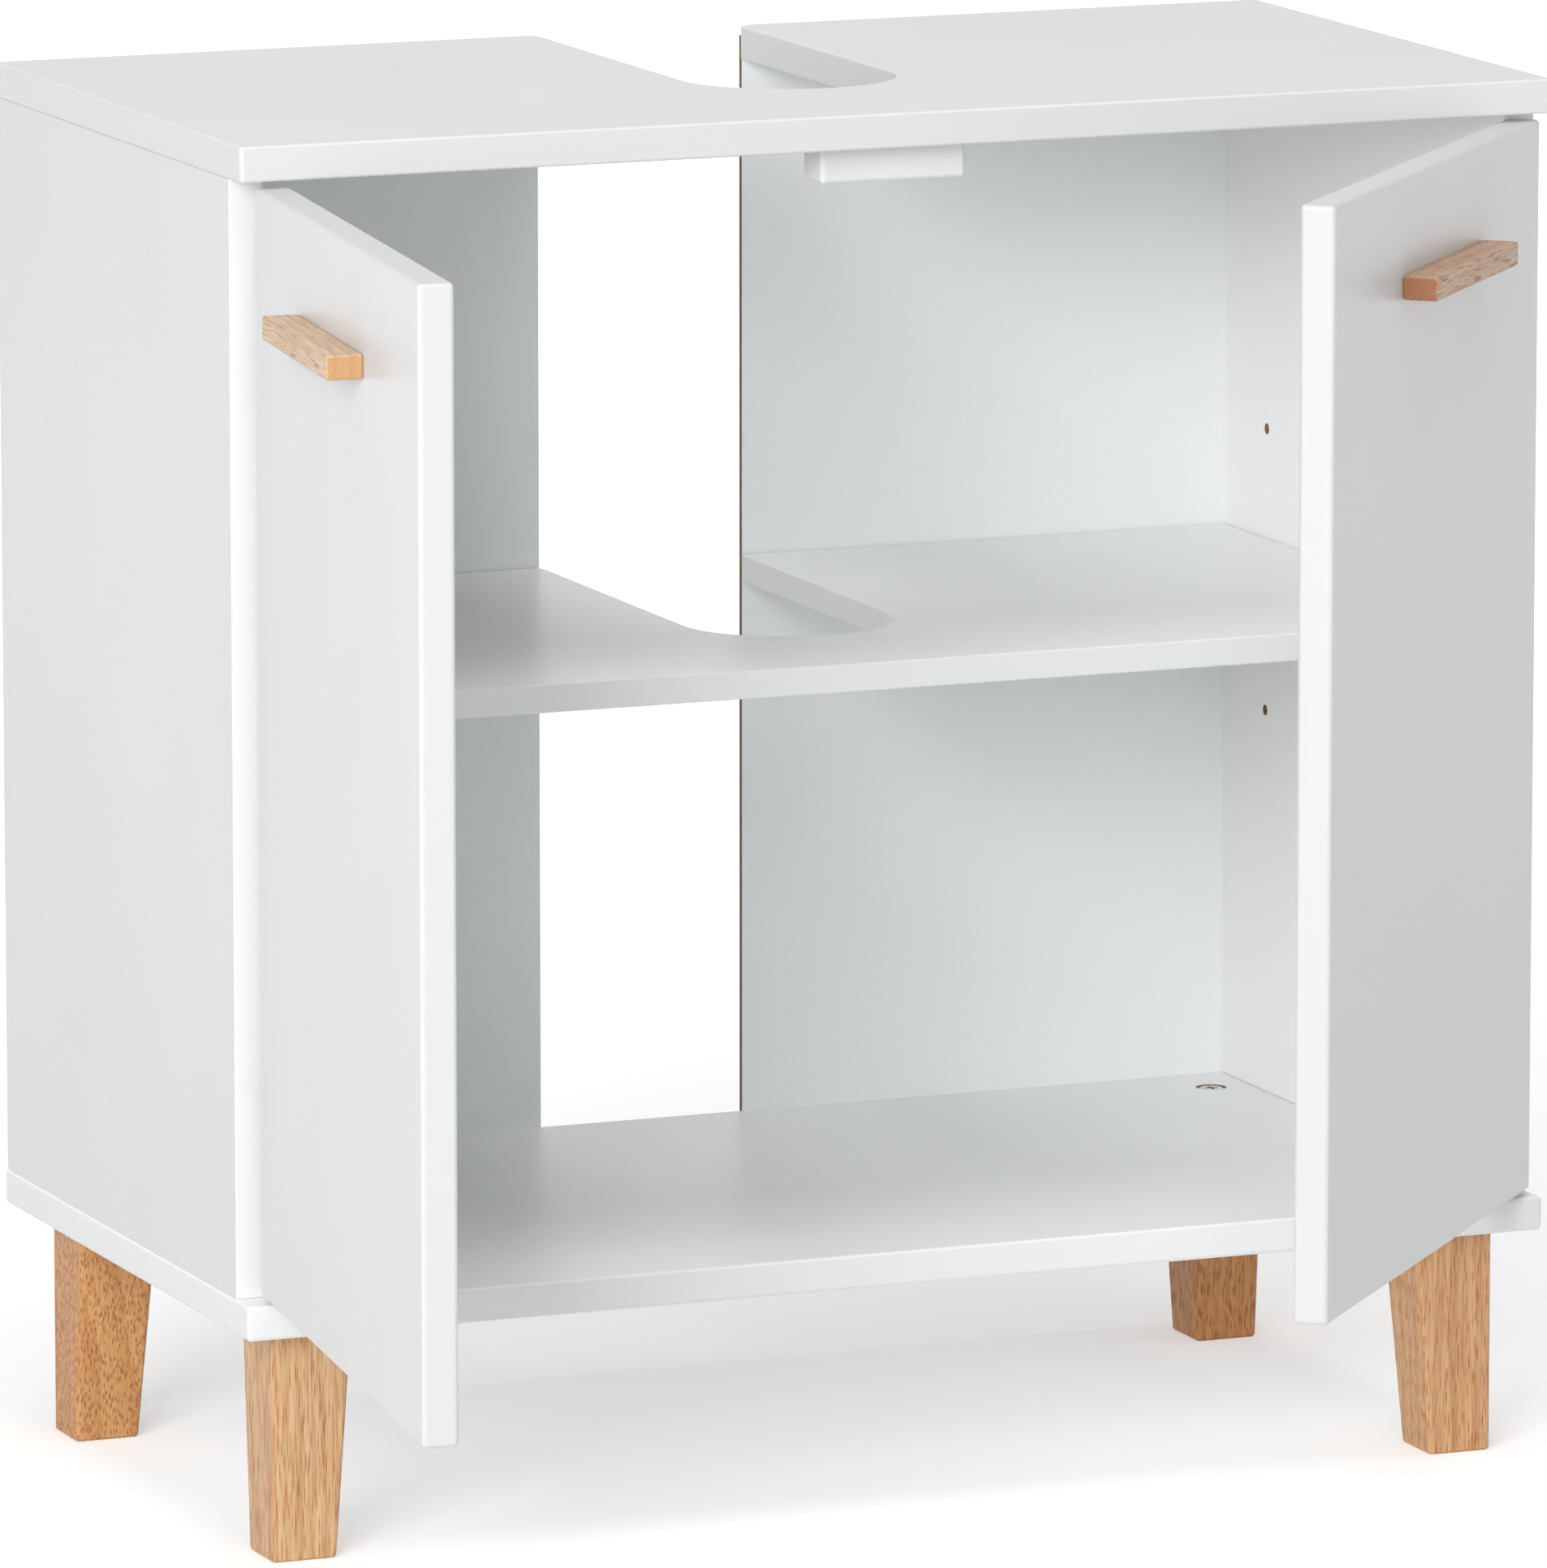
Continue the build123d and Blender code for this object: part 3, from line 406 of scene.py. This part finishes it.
def oiled_wood(name, middle, turn, heart, tones, cell, crowding):
    """Solid wood whose grain runs along z after a move by -middle and a turn, with four tones: light,
    dark, pore and sawn end."""
    material, tree, shader = new_finish(name)
    light, dark, pore, end = (linear(code) for code in tones)
    place = add(tree, "ShaderNodeTexCoord")
    moved = add(tree, "ShaderNodeVectorMath", {0: place.outputs["Object"], 1: tuple(middle)},
                operation="SUBTRACT")
    turned = add(tree, "ShaderNodeVectorRotate", {"Vector": moved.outputs[0], "Rotation": turn},
                 rotation_type="EULER_XYZ")
    grain = add(tree, "ShaderNodeVectorMath", {0: turned.outputs[0], "Scale": 1000.0},
                operation="SCALE").outputs[0]
    streak = add(tree, "ShaderNodeTexNoise", {"Vector": along_grain(tree, grain, *STREAK), "Scale": 1.0,
                                              "Detail": 3.0, "Roughness": 0.6}).outputs["Fac"]
    lines = add(tree, "ShaderNodeMapRange", {"Value": streak, "From Min": 0.42, "From Max": 0.66,
                                             "To Min": 0.0, "To Max": STREAK_SHADE}).outputs[0]
    rings = growth_tone(tree, grain, heart)
    depth = add(tree, "ShaderNodeMath", {0: rings, 1: lines}, operation="ADD").outputs[0]
    side_grain = add(tree, "ShaderNodeMix", {0: depth, 6: light, 7: dark}, data_type="RGBA").outputs[2]
    sawn = sawn_share(tree, place.outputs["Normal"], turn)
    tone = add(tree, "ShaderNodeMix", {0: sawn, 6: side_grain, 7: end}, data_type="RGBA").outputs[2]
    pores = pore_share(tree, grain, cell, crowding)
    strength = add(tree, "ShaderNodeMath", {0: pores, 1: PORE_SHADE}, operation="MULTIPLY").outputs[0]
    colour = add(tree, "ShaderNodeMix", {0: strength, 6: tone, 7: pore}, data_type="RGBA").outputs[2]
    rough = add(tree, "ShaderNodeMapRange", {"Value": pores, "To Min": 0.42, "To Max": 0.65})
    relief = add(tree, "ShaderNodeMath", {0: streak, 1: pores}, operation="SUBTRACT")
    cover(tree, shader, colour, rough.outputs[0], relief.outputs[0], 0.35, GRAIN_DEPTH)
    return material


print("streaks of", STREAK[0], "by", STREAK[1], "mm")


# %% [markdown]
# Each leg was sawn from another place in a plank, so each has its own heart, tones and pores, and
# a step of the pattern's origin keeps two legs from showing one pattern. The leg at the rear left
# shows the most and the shortest pores.

# %% Dress the legs
PATTERN_STEP = 0.3
LEGS = {
    "leg_front_left": {"heart": (60, 25, 0), "cell": (0.7, 12.0), "crowding": 0.6,
                       "tones": ("#DDB98D", "#AF7340", "#A3602F", "#CC9152")},
    "leg_front_right": {"heart": (-40, 55, 0), "cell": (0.8, 9.0), "crowding": 0.6,
                        "tones": ("#DBB284", "#B06D38", "#A0602E", "#C78A4E")},
    "leg_rear_left": {"heart": (25, -70, 0), "cell": (1.0, 3.6), "crowding": 0.95,
                      "tones": ("#D5A26B", "#B0703A", "#915428", "#C08040")},
    "leg_rear_right": {"heart": (70, 20, 0), "cell": (0.9, 10.0), "crowding": 0.6,
                       "tones": ("#E2A66A", "#B16A34", "#824A20", "#BE7C42")},
}
for number, (leg, looks) in enumerate(LEGS.items()):
    low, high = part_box(leg)
    origin = (low + high) / 2 + Vector((0, 0, number * PATTERN_STEP))
    dress([leg], oiled_wood("oiled_rubberwood_" + leg, origin, (0, 0, 0), **looks))


# %% [markdown]
# A handle's grain runs along its bar. The pattern is turned back with its door first and then laid
# over, so that the bar's length becomes the grain's direction. The left bar is the paler one, with
# fewer pores, and its rings lie flat behind the bar, so that its front is an even tone.

# %% Dress the handles
HANDLES = {
    "left": {"heart": (0, -82, 0), "cell": (0.7, 14.0), "crowding": 0.32,
             "tones": ("#E0C6A6", "#A8713F", "#A67346", "#BF905B")},
    "right": {"heart": (40, 30, 0), "cell": (0.7, 14.0), "crowding": 0.55,
              "tones": ("#CAA988", "#A37152", "#7F4F2F", "#95552D")},
}
for side, looks in HANDLES.items():
    low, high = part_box("handle_" + side)
    turn = Matrix.Rotation(pi / 2, 3, "Y") @ Matrix.Rotation(-radians(OPENINGS[side]), 3, "Z")
    name = "oiled_rubberwood_handle_" + side
    dress(["handle_" + side], oiled_wood(name, (low + high) / 2, turn.to_euler("XYZ"), **looks))


# %% [markdown]
# Screws, nails, pins and cam bolts are steel with bright zinc, the hinges are nickel plated, and
# the cam nuts and leg inserts are cast zinc. Metals of one colour still differ in polish, so each
# gets its own roughness, from the polished nickel to the dull casting, and a fine noise in its tint.
# The grit of a plating is too fine to see, so it is drawn at about half a millimetre to one.

# %% Metals
PLATING_DEPTH = 0.03


def plated(name, tint, roughness, grit_size):
    """A metal whose roughness and tint drift a little over a grit of a given size in millimetres."""
    material, tree, shader = new_finish(name)
    place = in_millimetres(tree, (grit_size, grit_size, grit_size))
    grit = add(tree, "ShaderNodeTexNoise", {"Vector": place, "Scale": 1.0, "Detail": 4.0}).outputs["Fac"]
    colour = add(tree, "ShaderNodeMix", {0: grit, 6: toned(tint, 0.8), 7: linear(tint)}, data_type="RGBA")
    rough = add(tree, "ShaderNodeMapRange", {"Value": grit, "To Min": roughness * 0.75,
                                             "To Max": roughness * 1.3})
    shader.inputs["Metallic"].default_value = 1.0
    cover(tree, shader, colour.outputs[2], rough.outputs[0], grit, 0.2, PLATING_DEPTH)
    return material


SCREWS = ["leg_bolts", "block_screws", "cam_bolts", "shelf_pins"]
for stem in ("panel_nails", "plate_screws", "arm_screws", "handle_screws", "cup_screws"):
    SCREWS += sided(stem)
HINGES = []
for stem in ("hinge_plates", "hinge_arms", "arm_pins", "hinge_cups", "cup_pins", "hinge_links"):
    HINGES += sided(stem)
dress(SCREWS, plated("zinc_plated_steel", "#E2E2DE", 0.28, 0.6))
dress(HINGES, plated("nickel_plated_steel", "#D6D3CB", 0.2, 1.2))
dress(sided("cam_nuts") + ["leg_inserts"], plated("zinc_casting", "#B4B5B6", 0.42, 0.4))


# %% [markdown]
# The hidden dowels are plain turned beech, which the recipe for rubberwood gives with paler tones
# and short fine pores. Each door has a small buffer of soft clear plastic, a little milky.

# %% Dowels and buffers
BEECH_LOOKS = {"heart": (30, 10, 0), "cell": (0.6, 3.0), "crowding": 0.3,
               "tones": ("#D8B98C", "#C09A69", "#A97F50", "#C7A172")}
dress(["carcass_dowels", "leg_dowels"], oiled_wood("turned_beech", (0, 0, 0), (0, 0, 0), **BEECH_LOOKS))

PLASTIC_SKIN = (1.5, 1.5, 1.5)


def clear_plastic(name):
    """Soft clear plastic, a little milky, with a faint skin."""
    material, tree, shader = new_finish(name)
    skin = add(tree, "ShaderNodeTexNoise", {"Vector": in_millimetres(tree, PLASTIC_SKIN), "Scale": 1.0})
    rough = add(tree, "ShaderNodeMapRange", {"Value": skin.outputs["Fac"], "To Min": 0.15, "To Max": 0.3})
    tree.links.new(rough.outputs[0], shader.inputs["Roughness"])
    shader.inputs["Base Color"].default_value = linear("#E8E8E4")
    shader.inputs["Transmission Weight"].default_value = 0.6
    return material


dress(sided("door_buffer"), clear_plastic("clear_soft_plastic"))


# %% [markdown]
# The studio is a pale floor under a dim white sky. Brighter lamps would burn out the white boards,
# so the white of the background comes another way: a glow that only the camera, mirrors and clear
# plastic see. On the floor it grows with distance, and the floor still shows the shadow.

# %% Floor and sky
WHITE = (1.0, 1.0, 1.0, 1.0)
FLOOR_REACH = 14.0
SKY_LEVEL = 0.30
NEAR, FAR = 0.5, 3.0
NEAR_GLOW, FAR_GLOW = 0.38, 0.9


def seen_share(tree):
    """1 for a ray that comes from the camera, from a mirror or through plastic, else 0."""
    rays = add(tree, "ShaderNodeLightPath").outputs
    direct = {0: rays["Is Camera Ray"], 1: rays["Is Glossy Ray"]}
    seen = add(tree, "ShaderNodeMath", direct, operation="MAXIMUM").outputs[0]
    through = {0: seen, 1: rays["Is Transmission Ray"]}
    return add(tree, "ShaderNodeMath", through, operation="MAXIMUM").outputs[0]


def studio_floor():
    """A wide plain floor. Its glow for the camera lifts it to white and leaves its shadow."""
    mesh = bpy.data.meshes.new("floor")
    corners = [(-FLOOR_REACH, -FLOOR_REACH, 0), (FLOOR_REACH, -FLOOR_REACH, 0),
               (FLOOR_REACH, FLOOR_REACH, 0), (-FLOOR_REACH, FLOOR_REACH, 0)]
    mesh.from_pydata(corners, [], [(0, 1, 2, 3)])
    floor = bpy.data.objects.new("floor", mesh)
    bpy.context.scene.collection.objects.link(floor)
    material, tree, shader = new_finish("pale_floor")
    shader.inputs["Base Color"].default_value = linear("#EEEEEE")
    shader.inputs["Roughness"].default_value = 0.9
    shader.inputs["Specular IOR Level"].default_value = 0.1
    shader.inputs["Emission Color"].default_value = WHITE
    place = add(tree, "ShaderNodeTexCoord").outputs["Object"]
    away = add(tree, "ShaderNodeVectorMath", {0: place}, operation="LENGTH").outputs["Value"]
    level = add(tree, "ShaderNodeMapRange", {"Value": away, "From Min": NEAR, "From Max": FAR,
                                             "To Min": NEAR_GLOW, "To Max": FAR_GLOW}).outputs[0]
    glow = add(tree, "ShaderNodeMath", {0: seen_share(tree), 1: level}, operation="MULTIPLY")
    tree.links.new(glow.outputs[0], shader.inputs["Emission Strength"])
    mesh.materials.append(material)


def sky():
    """Even white light from all round, at full white only where the camera sees it."""
    world = bpy.data.worlds.new("studio")
    world.use_nodes = True
    tree = world.node_tree
    tree.nodes.clear()
    level = add(tree, "ShaderNodeMapRange", {"Value": seen_share(tree), "To Min": SKY_LEVEL, "To Max": 1.0})
    light = add(tree, "ShaderNodeBackground", {"Color": WHITE, "Strength": level.outputs[0]})
    add(tree, "ShaderNodeOutputWorld", {"Surface": light.outputs[0]})
    bpy.context.scene.world = world


studio_floor()
sky()
print("sky level", SKY_LEVEL, "over a floor of", 2 * FLOOR_REACH, "m")


# %% [markdown]
# Two key lamps stand at the left of the front, seven metres off, so that a near door edge gets no
# more light than a far one. The lower one reaches under the top to the back panels, and the higher
# one lights the shelf and the floor board. Three weaker lamps fill the front, the right and the top.
# So the front edges are brightest and the door that faces right is grey, as in the photograph. Each
# lamp has an azimuth from the front towards the left and a height in degrees, a distance and a size
# in metres, and the level to which it lights a white surface that faces it.

# %% Lamps
LAMP_AIM = Vector((0, -0.05, 0.35))
LAMPS = {
    "key_high": (42, 22, 7.0, 3.1, 0.45),
    "key_low": (42, 8, 7.0, 3.1, 0.225),
    "front": (24, 12, 7.0, 3.1, 0.135),
    "right": (-75, 15, 7.0, 3.5, 0.063),
    "overhead": (10, 80, 5.0, 3.0, 0.36),
}


def soft_lamp(name, azimuth, height, distance, size, level):
    """A square lamp that lights a facing white surface to a level. Its power is the level times the
    squares of pi and of the distance."""
    data = bpy.data.lights.new(name, "AREA")
    data.size = size
    data.energy = level * pi ** 2 * distance ** 2
    lamp = bpy.data.objects.new(name, data)
    bpy.context.scene.collection.objects.link(lamp)
    low = cos(radians(height))
    away = Vector((-sin(radians(azimuth)) * low, -cos(radians(azimuth)) * low, sin(radians(height))))
    lamp.location = LAMP_AIM + away * distance
    lamp.rotation_euler = (-away).to_track_quat("-Z", "Y").to_euler()
    return lamp


for name, settings in LAMPS.items():
    lamp = soft_lamp(name, *settings)
    print(name, "at", [round(c, 2) for c in lamp.location], "gives", round(lamp.data.energy), "W")
bpy.context.scene.view_settings.view_transform = "Standard"
